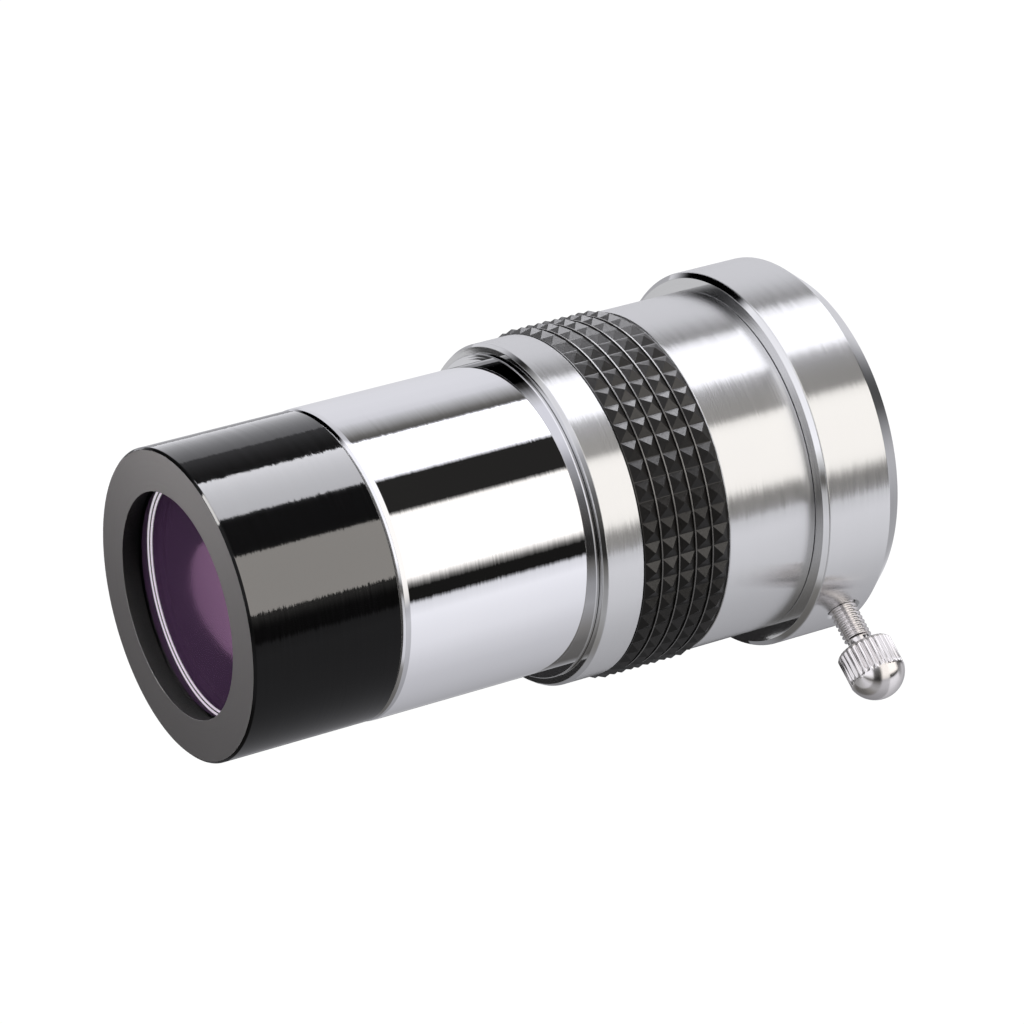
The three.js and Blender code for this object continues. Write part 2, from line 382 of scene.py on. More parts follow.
def chrome_plate():
    m = Nodes("chrome_plate")
    smear = m.noise(m.place(), 90.0, 3.0)
    colour = m.mix(smear, (0.86, 0.86, 0.885, 1), (0.90, 0.90, 0.915, 1))
    return m.set(
        Base_Color=colour,
        Metallic=1.0,
        Roughness=m.between(smear, 0.02, 0.04),
        Normal=m.streaked(0.03, 0.2),
    )


def turned_aluminium(name, roughness, anisotropy, lean):
    """Aluminium with turning lines. The anisotropy spreads highlights across the lines."""
    m = Nodes(name)
    lines = m.noise(m.turning_lines(0.16), 1.0, 2.0)
    colour = m.mix(lines, (0.75, 0.75, 0.755, 1), (0.81, 0.81, 0.815, 1))
    return m.set(
        Base_Color=colour,
        Metallic=1.0,
        Roughness=m.between(lines, roughness, roughness + 0.03),
        Anisotropic=anisotropy,
        Anisotropic_Rotation=0.25,
        Tangent=m.node("ShaderNodeTangent", direction_type="RADIAL", axis="X").outputs[0],
        Normal=m.streaked(lean, 0.15),
    )


def gloss_anodised():
    m = Nodes("gloss_black_anodised")
    lines = m.noise(m.turning_lines(0.2), 1.0, 2.0)
    return m.set(
        Base_Color=m.mix(lines, (0.0004, 0.0004, 0.0004, 1), (0.001, 0.001, 0.0011, 1)),
        Roughness=m.between(lines, 0.03, 0.07),
        Specular_IOR_Level=0.13,
        Normal=m.streaked(0.08, 0.12),
    )


def satin_anodised():
    m = Nodes("satin_black_anodised")
    lines = m.noise(m.turning_lines(0.12), 1.0, 3.0)
    grain = m.noise(m.place(), 9000.0, 2.0)
    shade = m.math("MULTIPLY", m.math("ADD", lines, grain), 0.5)
    return m.set(
        Base_Color=m.mix(shade, (0.060, 0.058, 0.058, 1), (0.083, 0.080, 0.080, 1)),
        Roughness=m.between(shade, 0.34, 0.46),
        Normal=m.bump(shade, 0.12, 0.02 * MM),
    )


def matte_black():
    m = Nodes("matte_black")
    grain = m.noise(m.place(), 6000.0, 3.0)
    return m.set(
        Base_Color=m.mix(grain, (0.004, 0.004, 0.004, 1), (0.012, 0.012, 0.012, 1)),
        Roughness=m.between(grain, 0.6, 0.85),
        Specular_IOR_Level=0.25,
        Normal=m.bump(grain, 0.3, 0.03 * MM),
    )


def moulded_rubber():
    m = Nodes("moulded_rubber")
    cloud = m.noise(m.place(), 350.0, 4.0)
    grain = m.noise(m.place(), 5000.0, 3.0)
    return m.set(
        Base_Color=m.mix(cloud, (0.003, 0.0028, 0.0025, 1), (0.009, 0.0083, 0.0076, 1)),
        Roughness=m.between(grain, 0.28, 0.42),
        Specular_IOR_Level=0.26,
        Normal=m.bump(grain, 0.25, 0.04 * MM),
    )


def rib_top_painted_highlight():
    """The tops of the grip's thin ribs, paler than the rest of the rubber: a painted highlight
    where light catches them.
    """
    m = Nodes("rib_top_painted_highlight")
    cloud = m.noise(m.place(), 900.0, 3.0)
    return m.set(
        Base_Color=m.mix(cloud, (0.04, 0.039, 0.038, 1), (0.075, 0.073, 0.071, 1)),
        Roughness=m.between(cloud, 0.25, 0.4),
    )


def bright_steel():
    m = Nodes("bright_steel")
    smear = m.noise(m.place(), 900.0, 3.0)
    return m.set(
        Base_Color=m.mix(smear, (0.79, 0.76, 0.755, 1), (0.87, 0.845, 0.84, 1)),
        Metallic=1.0,
        Roughness=m.between(smear, 0.13, 0.19),
    )


def coated_glass():
    m = Nodes("coated_glass")
    bloom = m.noise(m.place(), 120.0, 2.0)
    return m.set(
        Base_Color=m.mix(bloom, (0.58, 0.27, 0.66, 1), (0.66, 0.33, 0.74, 1)),
        Roughness=0.06,
        IOR=1.52,
        Transmission_Weight=0.885,
        Specular_Tint=(0.45, 0.1, 0.5, 1),
    )


def cemented_glass():
    """The inner faces of the two elements, where cement of the same index hides the surface."""
    m = Nodes("cemented_glass")
    tone = m.noise(m.place(), 120.0, 2.0)
    return m.set(
        Base_Color=m.mix(tone, (0.9, 0.82, 0.93, 1), (0.94, 0.86, 0.96, 1)),
        Roughness=0.0,
        IOR=1.0,
        Transmission_Weight=1.0,
    )


def ground_glass_painted_glow():
    """The bevels at the cemented joint, ground glass with a painted glow. The glow stands for
    light scattered into them.
    """
    m = Nodes("ground_glass_bevel_painted_glow")
    grain = m.noise(m.place(), 4000.0, 2.0)
    return m.set(
        Base_Color=m.mix(grain, (0.75, 0.70, 0.78, 1), (0.9, 0.86, 0.92, 1)),
        Roughness=m.between(grain, 0.35, 0.5),
        Emission_Color=(0.505, 0.698, 0.476, 1),
        Emission_Strength=1.7,
    )


CHROME = chrome_plate()
ALUMINIUM = turned_aluminium("turned_aluminium", 0.2, 1.0, 0.07)
FACED_ALUMINIUM = turned_aluminium("faced_aluminium", 0.05, 0.2, 0.02)
GLOSS_BLACK = gloss_anodised()
SATIN_BLACK = satin_anodised()
MATTE_BLACK = matte_black()
RUBBER = moulded_rubber()
RIB_PAINTED_HIGHLIGHT = rib_top_painted_highlight()
STEEL = bright_steel()
GLASS = coated_glass()
GROUND_GLASS_PAINTED_GLOW = ground_glass_painted_glow()
CEMENTED = cemented_glass()


# ---------------------------------------------------------------- lens cell

def lens_cell():
    rear = NOSE_FRONT - FACE_GAP
    lip = LENS_FRONT - 0.2
    thread_foot_r = FILTER_THREAD_R - 0.35
    gloss, satin, matte = 0, 1, 2
    corners = [
        (CELL_FRONT, APERTURE_R, 0.04, satin),
        (CELL_FRONT, CELL_R - 0.22, 0.06, gloss),
        (CELL_FRONT + 0.22, CELL_R, 0.1, gloss),
        (rear - 0.17, CELL_R, 0.02, matte),
        (rear, CELL_R - 0.2, 0.04, matte),
        (rear, thread_foot_r, 0, matte),
        (rear + 0.5, thread_foot_r, 0, (0.33, FILTER_PITCH, matte)),
        (CELL_STUB_END - 0.3, thread_foot_r, 0, matte),
        (CELL_STUB_END, FILTER_THREAD_R - 0.6, 0, matte),
        (CELL_STUB_END, LENS_BORE_R, 0.05, matte),
        (lip, LENS_BORE_R, 0, matte),
        (lip, APERTURE_R + 0.73, 0.04, matte),
    ]
    piece = Turning().add(segments_of(corners)).piece(
        "lens_cell_housing_turned", [GLOSS_BLACK, SATIN_BLACK, MATTE_BLACK]
    )
    return settle(piece, "lens_cell_housing", "lens_cell")


def lens_elements():
    bevel = 0.6
    rim = LENS_R - 0.02
    cement_gap = 0.05
    # The ground bands carry a painted glow that stands for light scattered into the bevels.
    glass, ground_painted_glow, cement, dark = 0, 1, 2, 3
    front_curve, split_curve, rear_curve = 110, -90, -150

    def straight(start, end, finish):
        """The segment of a lens rim between two points."""
        start, end = Vector(start), Vector(end)
        side = (end - start).normalized()
        normal = Vector((-side.y, side.x))
        return (start, normal), (end, normal), finish

    def bevel_sides(edge, direction, glows):
        """A bevel from the rim inwards. At the joint it carries two bright lines of painted glow.
        """
        depths = (0, 0.22, 0.34, 0.56, bevel)
        bands = (ground_painted_glow, dark, ground_painted_glow, dark) if glows else (dark,) * 4
        points = [(edge + direction * d, rim - d) for d in depths]
        return list(zip(points, points[1:], bands))

    def element(name, node, front_station, front, rear_station, rear, finishes):
        front_edge, rear_edge = front_station + bevel, rear_station - bevel
        front_bevel = bevel_sides(front_edge, -1, finishes[0] == cement)
        rim_sides = [
            *[(b, a, finish) for a, b, finish in reversed(front_bevel)],
            ((front_edge, rim), (rear_edge, rim), dark),
            *bevel_sides(rear_edge, 1, finishes[1] == cement),
        ]
        surfaces = [
            *sphere_side(front_station, rim - bevel, front, False, finishes[0]),
            *[straight(*side) for side in rim_sides],
            *sphere_side(rear_station, rim - bevel, rear, True, finishes[1]),
        ]
        piece = Turning().add(surfaces).piece(name, [GLASS, GROUND_GLASS_PAINTED_GLOW, CEMENTED, MATTE_BLACK])
        return settle(piece, node, "lens_group")

    edges = LENS_FRONT, front_curve, LENS_SPLIT, split_curve
    element("front_lens", "front_lens_element", *edges, (glass, cement))
    edges = LENS_SPLIT + cement_gap, split_curve, LENS_REAR, rear_curve
    element("rear_lens", "rear_lens_element", *edges, (cement, glass))


def retaining_ring():
    """A threaded ring with two spanner slots in its rear face."""
    inner = 11.3
    depth, pitch = 0.2, 0.5
    foot = RING_R - depth
    corners = [
        (RING_FRONT, inner, 0.1),
        (RING_FRONT, foot, 0),
        (RING_FRONT + 0.2, foot, 0, (depth, pitch, 0)),
        (RING_REAR - 0.2, foot, 0),
        (RING_REAR, foot, 0.05),
        (RING_REAR, inner, 0.15),
    ]
    ring = Turning(192).add(segments_of(corners))
    piece = ring.piece("lens_retaining_ring_turned", [MATTE_BLACK])
    bpy.ops.mesh.primitive_cube_add(size=1)
    slot = bpy.context.object
    slot.scale = (1.8 * MM, 60 * MM, 1.6 * MM)
    slot.location = (RING_REAR * MM, 0, 0)
    cut(piece, slot)
    return settle(piece, "lens_retaining_ring", "lens_group")


def cut(piece, tool):
    """Takes the tool's volume out of the piece, and removes the tool."""
    modifier = piece.modifiers.new("cut", "BOOLEAN")
    modifier.operation = "DIFFERENCE"
    modifier.solver = "EXACT"
    modifier.object = tool
    bpy.context.view_layer.update()
    depsgraph = bpy.context.evaluated_depsgraph_get()
    mesh = bpy.data.meshes.new_from_object(piece.evaluated_get(depsgraph))
    piece.modifiers.clear()
    piece.data = mesh
    bpy.data.objects.remove(tool)
    return mesh


# ---------------------------------------------------------------- nosepiece

def nosepiece():
    chrome, matte = 0, 1
    flange_rear = BODY_FRONT - FACE_GAP
    flange_front = 0
    thread_end = CELL_STUB_END + 0.5
    thread_root = FILTER_THREAD_R + 0.05
    body_thread_foot = BODY_THREAD_R - 0.35
    corners = [
        (NOSE_FRONT, thread_root, 0.1, chrome),
        (NOSE_FRONT, NOSE_R - 0.38, 0.04, chrome),
        (NOSE_FRONT + 0.3, NOSE_R - 0.07, 0.05, chrome),
        (NOSE_FRONT + 0.65, NOSE_R, 2.8, chrome),
        (flange_front, NOSE_R, 0, chrome),
        (flange_front, FLANGE_R, 0.1, chrome),
        (flange_rear, FLANGE_R, 0, chrome),
        (flange_rear, body_thread_foot, 0, matte),
        (flange_rear + 0.5, body_thread_foot, 0, (0.33, 0.75, matte)),
        (NOSE_REAR - 0.4, body_thread_foot, 0, matte),
        (NOSE_REAR, body_thread_foot, 0.1, matte),
        (NOSE_REAR, NOSE_BORE_R, 0.05, matte),
        (thread_end, NOSE_BORE_R, 0, matte),
        (thread_end, thread_root, 0, (0.3, FILTER_PITCH, matte)),
    ]
    barrel = Turning().add(segments_of(corners))
    piece = barrel.piece("nosepiece_barrel_turned", [CHROME, MATTE_BLACK])
    return settle(piece, "nosepiece_barrel", "root")


def light_baffle():
    inner = 10.2
    corners = [
        (BAFFLE_FRONT + 0.4, inner, 0.04),
        (BAFFLE_FRONT, inner + 0.6, 0.05),
        (BAFFLE_FRONT, BAFFLE_R, 0.1),
        (BAFFLE_REAR, BAFFLE_R, 0.1),
        (BAFFLE_REAR, inner, 0.05),
    ]
    piece = Turning().add(segments_of(corners)).piece("light_baffle_turned", [MATTE_BLACK])
    return settle(piece, "light_baffle", "root")


# ---------------------------------------------------------------- body and grip

def body_tube():
    metal, matte, faced = 0, 1, 2
    socket_stop = NOSE_REAR + 0.4
    corners = [
        (BODY_FRONT, BODY_THREAD_R + 0.1, 0.1, faced),
        (BODY_FRONT, BAND_R - 0.28, 0.05, faced),
        (BODY_FRONT + 0.45, BAND_R, 0.2, metal),
        (BAND_END, BAND_R, 0.12, metal),
        (BAND_END, GRIP_SEAT_R, 0, metal),
        (GRIP_END, GRIP_SEAT_R, 0, metal),
        (GRIP_END, BODY_R, 0.12, metal),
        (COLLAR_FRONT - FACE_GAP, BODY_R, 0.1, metal),
        (COLLAR_FRONT - FACE_GAP, SPIGOT_R, 0, metal),
        (SPIGOT_END, SPIGOT_R, 0.1, metal),
        (SPIGOT_END, SOCKET_R, 0.1, metal),
        (socket_stop, SOCKET_R, 0, matte),
        (socket_stop, BODY_THREAD_R + 0.1, 0.1, matte),
    ]
    piece = Turning().add(segments_of(corners)).piece(
        "body_tube_turned", [ALUMINIUM, MATTE_BLACK, FACED_ALUMINIUM]
    )
    return settle(piece, "body_tube", "root")


def rubber_grip():
    """A sleeve with rows of blunt pyramids, and a thin raised rib between one row and the next."""
    base_r = 17.72
    tip_r = GRIP_TIP_R - 0.15
    rib_top = base_r + 0.16
    rib_half, rib_foot, floor_edge = 0.07, 0.1, 0.115  # from the middle of a rib
    end_foot = 0.06  # the flat margin at each end of the sleeve
    valley = 0.015  # share of a tooth's pitch that is flat on each side of it
    blunt = 0.02  # share of a tooth's pitch from its middle to the edge of its blunt tip
    step = 2 * math.pi / GRIP_TEETH
    pitch = (GRIP_REAR - GRIP_FRONT) / GRIP_ROWS
    inner_r = GRIP_SEAT_R + 0.05
    shares = [valley, 0.3, 0.5, 0.7, 1 - valley]  # places round one tooth
    bm = bmesh.new()

    def at(station, radius, turn):
        angle = turn * step
        return bm.verts.new((station, -radius * math.sin(angle), radius * math.cos(angle)))

    def ring(station, radius):
        return [at(station, radius, tooth + s) for tooth in range(GRIP_TEETH) for s in shares]

    def strip(a, b, finish=0):
        for i in range(len(a)):
            k = (i + 1) % len(a)
            bm.faces.new([a[i], a[k], b[k], b[i]]).material_index = finish

    per_tooth = len(shares)
    first = ring(GRIP_FRONT, inner_r)
    edge = ring(GRIP_FRONT, base_r)
    strip(first, edge)
    for row in range(GRIP_ROWS):
        start = GRIP_FRONT + row * pitch
        end = start + pitch
        feet = []
        for inwards, station in ((1, start), (-1, end)):
            foot = end_foot if station in (GRIP_FRONT, GRIP_REAR) else rib_foot
            feet.append(ring(station + inwards * foot, base_r))
        strip(edge, feet[0])
        low, high = start + floor_edge, end - floor_edge
        middle = (start + end) / 2
        reach = (pitch / 2 - floor_edge) * blunt * 2
        corners = []
        for tooth in range(GRIP_TEETH):
            base = [
                at(low, base_r, tooth + valley), at(low, base_r, tooth + 1 - valley),
                at(high, base_r, tooth + 1 - valley), at(high, base_r, tooth + valley),
            ]
            tip = [
                at(middle - reach, tip_r, tooth + 0.5 - blunt),
                at(middle - reach, tip_r, tooth + 0.5 + blunt),
                at(middle + reach, tip_r, tooth + 0.5 + blunt),
                at(middle + reach, tip_r, tooth + 0.5 - blunt),
            ]
            for k in range(4):
                bm.faces.new([base[k - 1], base[k], tip[k], tip[k - 1]])
            bm.faces.new(tip)
            corners.append(base)
            n = tooth * per_tooth
            bm.faces.new([base[0], base[1], *reversed(feet[0][n : n + per_tooth])])
            bm.faces.new([base[2], base[3], *feet[1][n : n + per_tooth]])
        for tooth in range(GRIP_TEETH):
            here, after = corners[tooth], corners[(tooth + 1) % GRIP_TEETH]
            n = tooth * per_tooth + per_tooth - 1
            k = (n + 1) % len(feet[0])
            bm.faces.new([here[1], after[0], after[3], here[2]])
            bm.faces.new([feet[0][n], feet[0][k], after[0], here[1]])
            bm.faces.new([here[2], after[3], feet[1][k], feet[1][n]])
        if row < GRIP_ROWS - 1:
            tops = [ring(end - rib_half, rib_top), ring(end + rib_half, rib_top)]
            strip(feet[1], tops[0])
            # The rib tops take the material with the painted highlight.
            strip(*tops, 1)
            edge = tops[1]
        else:
            edge = ring(GRIP_REAR, base_r)
            strip(feet[1], edge)
    last = ring(GRIP_REAR, inner_r)
    strip(edge, last)
    strip(last, first)
    bmesh.ops.recalc_face_normals(bm, faces=bm.faces)
    mesh = bpy.data.meshes.new("rubber_grip_moulded")
    bm.to_mesh(mesh)
    bm.free()
    mesh.transform(Matrix.Scale(MM, 4))
    piece = with_materials("rubber_grip_moulded", mesh, [RUBBER, RIB_PAINTED_HIGHLIGHT])
    return settle(piece, "rubber_grip", "root")


# ---------------------------------------------------------------- collar and thumbscrew

# Turned pieces lie along +X. This matrix stands one on the screw's axis instead.
SCREW_AIM = SCREW_DIRECTION.to_track_quat("X", "Y").to_matrix().to_4x4()
SCREW_PLACE = Matrix.Translation((SCREW_STATION, 0, 0)) @ SCREW_AIM


def eyepiece_collar():
    faced = 1
    spigot_bore_r = SPIGOT_R + 0.1
    corners = [
        (COLLAR_FRONT, spigot_bore_r, 0.05, faced),
        (COLLAR_FRONT, COLLAR_R - 0.55, 0.06, faced),
        (COLLAR_FRONT + 0.45, COLLAR_R, 0.25),
        (COLLAR_CHAMFER_START, COLLAR_R, 0.12, faced),
        (COLLAR_REAR, COLLAR_REAR_R, 0.08),
        (COLLAR_REAR, SOCKET_R + 0.5, 0.05),
        (COLLAR_REAR - 0.5, SOCKET_R, 0.05),
        (SPIGOT_END + 0.1, SOCKET_R, 0),
        (SPIGOT_END + 0.1, spigot_bore_r, 0),
    ]
    segments = segments_of(corners)
    piece = Turning().add(segments).piece("eyepiece_collar_turned", [ALUMINIUM, FACED_ALUMINIUM])
    hole_r, countersink = 1.55, 0.35
    tool_corners = [
        (SOCKET_R - 1, 0, 0),
        (SOCKET_R - 1, hole_r, 0),
        (COLLAR_R - countersink, hole_r, 0),
        (COLLAR_R + 0.6, hole_r + countersink + 0.6, 0),
        (COLLAR_R + 0.6, 0, 0),
    ]
    drill = Turning(64).add(segments_of(tool_corners)[:-1])
    mesh = cut(piece, drill.piece("hole_tool", [ALUMINIUM], SCREW_PLACE))
    turned_normals(mesh, segments)
    return settle(piece, "eyepiece_collar", "root")


def turned_normals(mesh, segments):
    """Gives each face that lies on the turned outline the outline's own normals, after a cut."""
    nearness, end_slack = 0.004, 0.001
    normals = [Vector((0, 0, 0))] * len(mesh.loops)
    for polygon in mesh.polygons:
        polygon.use_smooth = True
        places = [mesh.vertices[v].co / MM for v in polygon.vertices]
        radial = [Vector((p.x, math.hypot(p.y, p.z))) for p in places]
        for (p0, n0), (p1, n1), _ in segments:
            side = p1 - p0
            shares = [(p - p0).dot(side) / side.length_squared for p in radial]
            off = max((p0 + side * s - p).length for s, p in zip(shares, radial))
            if off > nearness or min(shares) < -end_slack or max(shares) > 1 + end_slack:
                continue
            for loop, share, place in zip(polygon.loop_indices, shares, places):
                n = n0.lerp(n1, min(1, max(0, share))).normalized()
                away = Vector((0, place.y, place.z)).normalized()
                normals[loop] = Vector((n.x, 0, 0)) + away * n.y
            break
    mesh.normals_split_custom_set(normals)


def thumbscrew_shank():
    stud_end = 27.4
    corners = [
        (SCREW_TIP, 0, 0),
        (SCREW_TIP, 0.95, 0.05),
        (SCREW_TIP + 0.25, SCREW_ROOT_R, 0, (SCREW_R - SCREW_ROOT_R, SCREW_PITCH, 0)),
        (HEAD_UNDERSIDE - 0.45, SCREW_ROOT_R, 0),
        (stud_end, SCREW_ROOT_R, 0.1),
        (stud_end, 0, 0),
    ]
    segments = segments_of(corners)[:-1]
    piece = Turning(72).add(segments).piece("thumbscrew_shank_threaded", [STEEL], SCREW_PLACE)
    return settle(piece, "thumbscrew_shank", "screw_shank")


def thumbscrew_head():
    """A fluted head with a chamfered underside and a polished dome."""
    per_flute = 12
    columns = HEAD_FLUTES * per_flute
    socket_r, socket_end = SCREW_R + 0.1, 27.7
    centre = HEAD_FLUTE_END - math.sqrt(HEAD_DOME_R ** 2 - HEAD_R ** 2)
    rows = [  # station, radius and share of the flutes' depth
        (socket_end, 0.0, 0),
        (socket_end, socket_r - 0.1, 0),
        (socket_end - 0.1, socket_r, 0),
        (HEAD_UNDERSIDE + 0.1, socket_r, 0),
        (HEAD_UNDERSIDE, socket_r + 0.1, 0),
        (HEAD_UNDERSIDE, HEAD_R - 0.45, 0),
        (HEAD_UNDERSIDE + 0.06, HEAD_R - 0.31, 0.15),
        (HEAD_UNDERSIDE + 0.3, HEAD_R - 0.06, 0.85),
        (HEAD_UNDERSIDE + 0.42, HEAD_R, 1),
    ]
    run_out, run_out_rows, dome_rows = 0.7, 8, 24
    for i in range(run_out_rows + 1):
        share = i / run_out_rows
        station = HEAD_FLUTE_END - run_out + run_out * share
        rows.append((station, HEAD_R, math.cos(share * math.pi / 2) ** 0.7))
    start = math.asin((HEAD_FLUTE_END - centre) / HEAD_DOME_R)
    for i in range(1, dome_rows + 1):
        angle = start + (math.pi / 2 - start) * i / dome_rows
        radius = 0 if i == dome_rows else HEAD_DOME_R * math.cos(angle)
        rows.append((centre + HEAD_DOME_R * math.sin(angle), radius, 0))
    bm = bmesh.new()
    rings = []
    for station, radius, depth in rows:
        if radius == 0:
            rings.append([bm.verts.new((station, 0, 0))] * columns)
            continue
        ring = []
        for i in range(columns):
            turn = 2 * math.pi * i / columns
            wave = (1 - math.cos(turn * HEAD_FLUTES)) / 2
            r = radius - FLUTE_DEPTH * depth * wave ** 1.4
            ring.append(bm.verts.new((station, r * math.sin(turn), r * math.cos(turn))))
        rings.append(ring)
    for a, b in zip(rings, rings[1:]):
        for i in range(columns):
            k = (i + 1) % columns
            corners = [a[i], a[k], b[k], b[i]]
            bm.faces.new([v for n, v in enumerate(corners) if v is not corners[n - 1]])
    bmesh.ops.recalc_face_normals(bm, faces=bm.faces)
    mesh = bpy.data.meshes.new("thumbscrew_head_fluted")
    bm.to_mesh(mesh)
    bm.free()
    mesh.transform(Matrix.Scale(MM, 4) @ SCREW_PLACE)
    mesh.polygons.foreach_set("use_smooth", [True] * len(mesh.polygons))
    mesh.set_sharp_from_angle(angle=math.radians(50))
    piece = with_materials("thumbscrew_head_fluted", mesh, [STEEL])
    return settle(piece, "thumbscrew_head", "screw_head")


lens_cell()
lens_elements()
retaining_ring()
nosepiece()
light_baffle()
body_tube()
rubber_grip()
eyepiece_collar()
thumbscrew_shank()
thumbscrew_head()


# ---------------------------------------------------------------- studio

def studio_world():
    """Soft boxes as bands that run along the optical axis: each band is named by the angle at
    which it starts, round that axis, from level behind the object (0) over the top (90) to level
    in front of it (180) and straight down (270)."""
    world = bpy.data.worlds.new("studio")
    bpy.context.scene.world = world
    world.use_nodes = True
    tree = world.node_tree
    background = tree.nodes["Background"]

    def node(kind, inputs=(), **settings):
        made = tree.nodes.new(kind)
        for key, value in settings.items():
            setattr(made, key, value)
        for key, value in dict(inputs).items():
            if isinstance(value, bpy.types.NodeSocket):
                tree.links.new(value, made.inputs[key])
            else:
                made.inputs[key].default_value = value
        return made

    direction = node("ShaderNodeTexCoord").outputs["Generated"]
    xyz = node("ShaderNodeSeparateXYZ", {0: direction}).outputs
    angle = node("ShaderNodeMath", {0: xyz[2], 1: xyz[1]}, operation="ARCTAN2").outputs[0]
    turns = node("ShaderNodeMath", {0: angle, 1: 2 * math.pi}, operation="DIVIDE").outputs[0]
    share = node("ShaderNodeMath", {0: turns, 1: 1.0, 2: 0.0}, operation="WRAP").outputs[0]
    strongest = 2.0  # radiance that stands for 1 in the colours

    def ramp(bands):
        """Colours round the optical axis. Each band is its first angle, colour and radiance."""
        made = node("ShaderNodeValToRGB", {0: share})
        elements = made.color_ramp.elements
        elements.remove(elements[0])
        for i, (start, colour, power) in enumerate(bands):
            element = elements[0] if i == 0 else elements.new(start / 360)
            element.position = start / 360
            element.color = (*(c * power / strongest for c in colour), 1)
        return made.outputs[0]

    def blended(first, second, low, high):
        """The first colour below this x of the direction, the second above it."""
        inputs = {0: xyz[0], 1: low, 2: high, 3: 0.0, 4: 1.0}
        factor = node("ShaderNodeMapRange", inputs, interpolation_type="SMOOTHSTEP").outputs[0]
        mixed = node("ShaderNodeMix", {0: factor, 6: first, 7: second}, data_type="RGBA")
        return mixed.outputs[2]

    cool, neutral, warm = (0.95, 0.95, 1.0), (0.98, 0.98, 1.0), (1.0, 0.97, 0.93)

    def below(scale=1.0):
        """The bands below the object."""
        levels = [
            (193, 0.80), (202, 0.98), (212, 0.92), (226, 0.85), (242, 0.71), (258, 0.61),
            (274, 0.55), (290, 0.48), (306, 0.41), (314, 0.42), (322, 0.62), (330, 0.74),
            (346, 0.75), (359, 0.79),
        ]
        return [(start, cool, power * scale) for start, power in levels]

    facing_cylinders = ramp([
        (0, cool, 0.80), (18, cool, 0.82), (34, cool, 0.80), (42, cool, 0.72),
        (50, neutral, 0.42), (58, warm, 0.15), (63, warm, 0.08), (64.5, cool, 1.8),
        (98, cool, 1.6), (101, warm, 0.02), (126, warm, 0.02), (128.5, warm, 1.32),
        (173, warm, 1.3), (178, warm, 0.25), (181, warm, 0.01), (190.5, warm, 0.01),
        *below(),
    ])
    ahead = ramp([
        (0, cool, 0.78), (40, cool, 0.75), (52, cool, 0.6), (62, cool, 0.6),
        (68, cool, 1.35), (100, cool, 1.2), (120, warm, 1.15), (172, warm, 1.15),
        (184, warm, 0.9),
        *below(0.62),
    ])
    dark_side = ramp([
        (0, neutral, 0.02), (10, warm, 0.0), (44, warm, 0.0), (51, warm, 0.05),
        (59, neutral, 0.33), (66, neutral, 0.66), (74, cool, 0.9), (104, cool, 0.88),
        (112, cool, 0.75), (124, cool, 0.43), (137, neutral, 0.3), (150, neutral, 0.14),
        (165, warm, 0.09), (180, warm, 0.03), (192, warm, 0.03), (200, warm, 0.16),
        (215, neutral, 0.34), (232, neutral, 0.4), (255, warm, 0.24), (272, warm, 0.15),
        (300, warm, 0.12), (318, neutral, 0.4), (330, neutral, 0.66), (344, neutral, 0.62),
        (352, neutral, 0.3),
    ])
    lens_side = ramp([
        (0, cool, 1.0), (165, cool, 1.2), (175, neutral, 0.9), (184, neutral, 0.57),
        (192, warm, 0.16), (198, warm, 0.14), (206, neutral, 0.55), (224, cool, 0.78),
        (242, cool, 0.7), (262, neutral, 0.52), (290, neutral, 0.35), (320, neutral, 0.3),
        (345, neutral, 0.5),
    ])
    socket_side = ramp([
        (0, neutral, 0.05), (120, warm, 0.1), (200, neutral, 0.3), (270, cool, 0.6),
        (312, cool, 0.55), (335, neutral, 0.1), (350, neutral, 0.05),
    ])
    colour = blended(lens_side, dark_side, -0.68, -0.60)
    colour = blended(colour, ahead, -0.24, -0.06)
    colour = blended(colour, facing_cylinders, 0.36, 0.4)
    colour = blended(colour, socket_side, 0.84, 0.95)
    tree.links.new(colour, background.inputs["Color"])
    background.inputs["Strength"].default_value = strongest


def linked_light(name, lit, shape, size, radiance, colour, place, outward, level):
    """A soft light that only one piece sees. It faces against outward, and its first size lies
    along level."""
    data = bpy.data.lights.new(name, "AREA")
    data.shape = shape
    data.size, data.size_y = size
    area = size[0] * size[1] * (math.pi / 4 if shape == "ELLIPSE" else 1)
    data.energy = radiance * math.pi * area
    data.color = colour
    light = bpy.data.objects.new(name, data)
    bpy.context.scene.collection.objects.link(light)
    light.location = place
    light.rotation_mode = "QUATERNION"
    axes = Matrix((level, outward.cross(level), outward)).transposed()
    light.rotation_quaternion = axes.to_quaternion()
    light.visible_camera = False
    receivers = bpy.data.collections.new(name + "_receivers")
    bpy.context.scene.collection.children.link(receivers)
    receivers.objects.link(bpy.data.objects[lit])
    light.light_linking.receiver_collection = receivers


def strips(lit, bands):
    """Long soft strips. Each band is its first and last angle round the optical axis, as in
    studio_world, with its radiance and colour."""
    away, length, station = 0.5, 0.62, 0.23
    along = Vector((1, 0, 0))
    for start, end, radiance, colour in bands:
        middle = math.radians((start + end) / 2)
        outward = Vector((0, math.cos(middle), math.sin(middle)))
        width = 2 * away * math.tan(math.radians((end - start) / 2))
        place = outward * away + along * station
        name = f"strip_at_{start}_{lit}"
        size = length, width
        linked_light(name, lit, "RECTANGLE", size, radiance, colour, place, outward, along)


def lens_spot():
    """A small soft light that only the front glass mirrors, as a crescent near its rim."""
    outward = Vector((-0.373, 0.805, -0.461)).normalized()
    level = Vector((outward.y, -outward.x, 0)).normalized()
    place = Vector((-0.0498, 0.0344, -0.0208))
    size, radiance, pink = (0.006, 0.01), 1.0, (1.0, 0.62, 0.92)
    linked_light("lens_spot", "front_lens", "ELLIPSE", size, radiance, pink, place, outward, level)


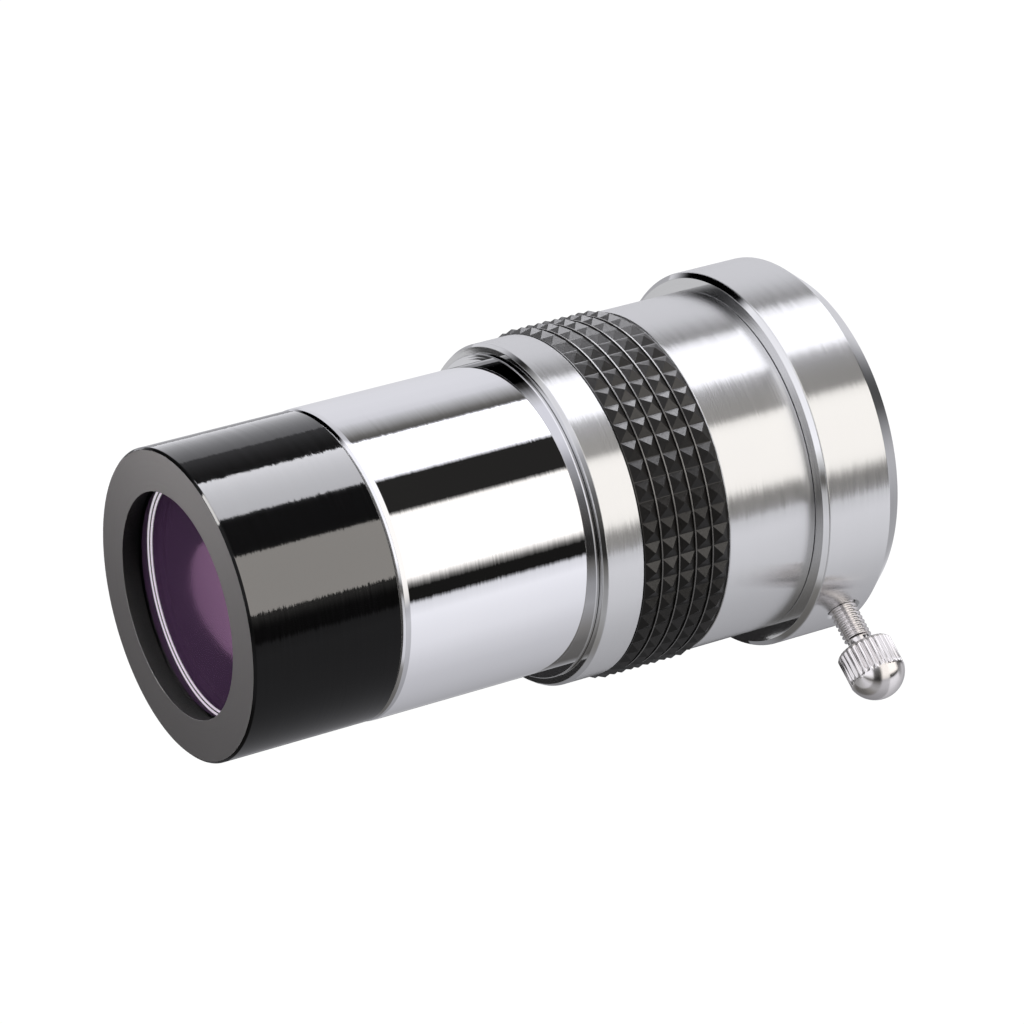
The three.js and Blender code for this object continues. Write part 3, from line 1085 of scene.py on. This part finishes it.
def face_light():
    """A near light above the cell's front face, which leaves the bottom of the face darker."""
    centre = Vector((CELL_FRONT * MM, 0, 0))
    away = Vector((-0.03, 0, 0.042))
    place, outward, level = centre + away, away.normalized(), Vector((0, 1, 0))
    size, radiance, white = (0.02, 0.02), 55.0, (1.0, 0.98, 0.97)
    lit = "lens_cell_housing_turned"
    linked_light("face_light", lit, "ELLIPSE", size, radiance, white, place, outward, level)


def plain_material(name, colour, glow=0.0):
    return Nodes(name).set(
        Base_Color=(*colour, 1),
        Roughness=0.9,
        Emission_Color=(1, 1, 1, 1),
        Emission_Strength=glow,
    )


def stage_surface(name, profile, material):
    """A surface turned about the upright axis, seen by the camera only. The profile holds radii
    and heights."""
    sides = 96
    turns = [2 * math.pi * i / sides for i in range(sides)]
    bm = bmesh.new()
    rings = []
    for radius, height in profile:
        if radius:
            places = [(radius * math.cos(t), radius * math.sin(t), height) for t in turns]
            rings.append([bm.verts.new(place) for place in places])
        else:
            rings.append([bm.verts.new((0, 0, height))] * sides)
    for a, b in zip(rings, rings[1:]):
        for i in range(sides):
            k = (i + 1) % sides
            corners = dict.fromkeys((a[i], a[k], b[k], b[i]))  # three of them beside the axis
            bm.faces.new(list(corners))
    mesh = bpy.data.meshes.new(name)
    bm.to_mesh(mesh)
    bm.free()
    piece = with_materials(name, mesh, [material])
    piece.visible_glossy = False
    piece.visible_diffuse = False
    piece.visible_transmission = False
    piece.visible_shadow = False


def dark_card():
    """A black card low behind the lens end, mirrored in the lower half of the end faces."""
    height = -0.03
    corners = (
        (-0.13, 0.008),
        (0.01, 0.012),
        (0.014, 0.003),
        (0.05, 0.003),
        (0.05, 0.06),
        (-0.046, 0.06),
        (-0.056, 0.13),
        (-0.13, 0.13),
    )
    bm = bmesh.new()
    bm.faces.new([bm.verts.new((x, y, height)) for x, y in corners])
    mesh = bpy.data.meshes.new("dark_card")
    bm.to_mesh(mesh)
    bm.free()
    black = plain_material("card_black", (0.02, 0.019, 0.018))
    card = with_materials("dark_card", mesh, [black])
    card.visible_camera = False
    card.visible_shadow = False


def studio():
    studio_world()
    cool, warm = (0.95, 0.95, 1.0), (1.0, 0.95, 0.9)
    cell_bands = [(-6, 38, 1.6, cool), (65, 99, 36.0, cool), (128, 170, 19.0, warm)]
    strips("lens_cell_housing_turned", cell_bands)
    lens_spot()
    face_light()
    strips("rubber_grip_moulded", [(38, 84, 11.0, cool), (128, 170, 2.8, warm)])
    reach, dome_steps = 3.0, 32
    floor_height = -COLLAR_R * MM - 0.03
    dome_foot = floor_height - 0.01
    floor = [(0, floor_height), (reach, floor_height)]
    stage_surface("floor", floor, plain_material("pale_floor", (0.02, 0.02, 0.02), 1.0))
    dark_card()
    angles = [math.pi / 2 * i / dome_steps for i in range(dome_steps)]
    dome = [(reach * math.cos(a), dome_foot + reach * math.sin(a)) for a in angles]
    backdrop = [(0, dome_foot), *dome, (0, dome_foot + reach)]
    stage_surface("backdrop", backdrop, plain_material("pale_backdrop", (0.0, 0.0, 0.0), 1.0))


def camera():
    azimuth, elevation = math.radians(-31.32), math.radians(26.26)
    distance = 0.4929
    target = Vector((0.00053, 0.00005, 0.0004))
    level = math.cos(elevation)
    back = Vector((math.sin(azimuth) * level, -math.cos(azimuth) * level, math.sin(elevation)))
    data = bpy.data.cameras.new("camera")
    data.sensor_width = 36
    data.lens = 172.5
    data.clip_start = 0.01
    data.clip_end = 20
    made = bpy.data.objects.new("camera", data)
    bpy.context.scene.collection.objects.link(made)
    made.location = target + back * distance
    made.rotation_mode = "QUATERNION"
    made.rotation_quaternion = (-back).to_track_quat("-Z", "Y")
    bpy.context.scene.camera = made


studio()
camera()
bpy.context.scene.view_settings.view_transform = "Standard"
